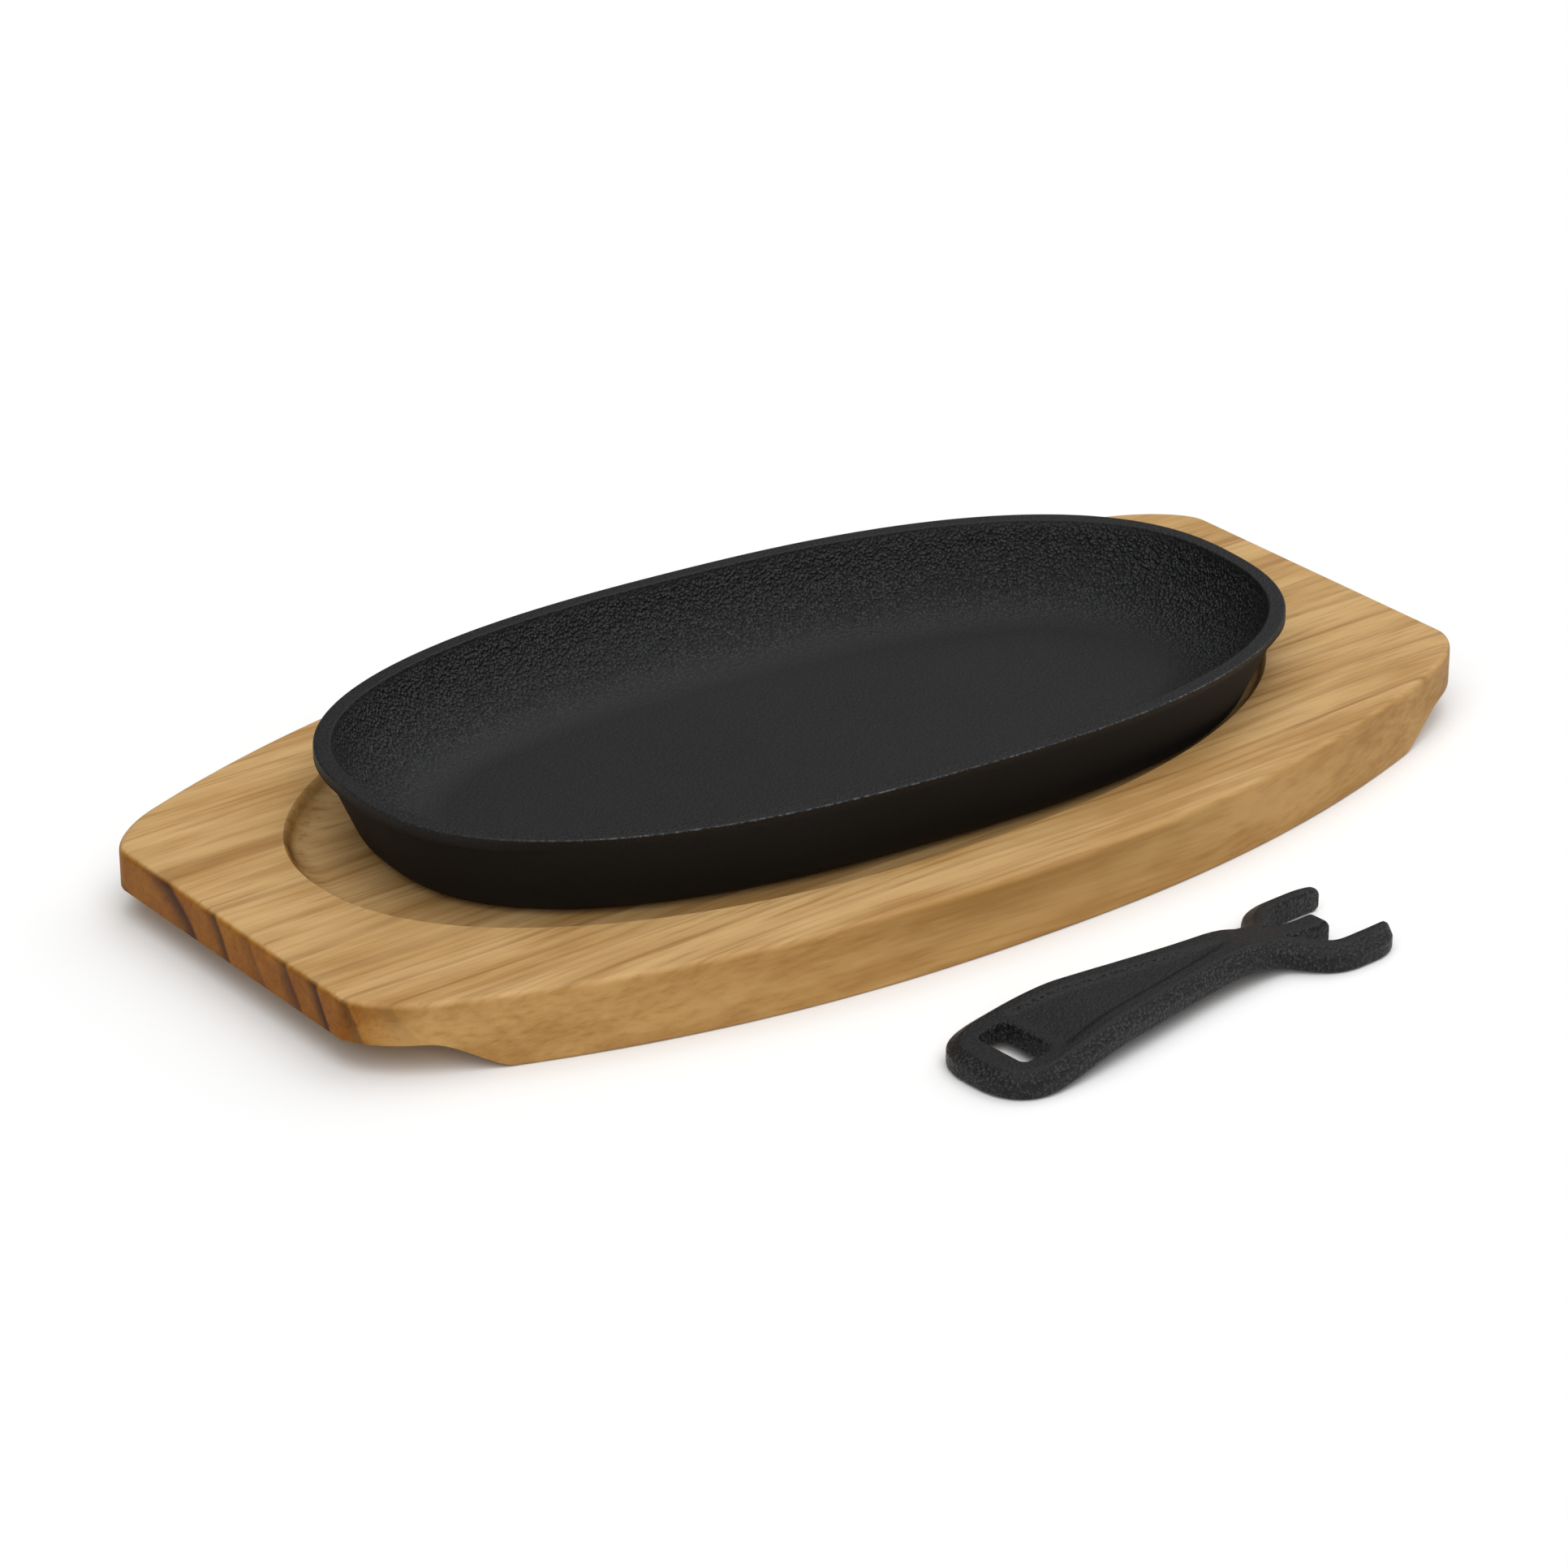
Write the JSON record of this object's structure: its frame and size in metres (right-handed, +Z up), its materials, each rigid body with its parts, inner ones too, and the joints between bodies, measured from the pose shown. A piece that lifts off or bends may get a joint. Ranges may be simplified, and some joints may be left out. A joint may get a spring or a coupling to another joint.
{
  "type": "sizzle platter",
  "caption": "Oval cast-iron sizzle platter with gripping lips, standing in the recess of a bowed wooden underliner board, with a loose forked gripper handle.",
  "frame": {"origin": "middle of the board's flat underside, on the surface that the set stands on", "axes": "+X along the board's length, +Z up, -Y towards the long side that the loose handle lies at"},
  "size_m": [0.32, 0.2315, 0.035],
  "materials": {
    "platter_iron": "satin black, sand-cast grain",
    "board_wood": "satin, light honey colour",
    "handle_iron": "satin black, sand-cast grain"
  },
  "bodies": {
    "root": {"platter": "platter_iron", "underliner_board": "board_wood", "gripper_handle": "handle_iron"}
  },
  "joints": []
}
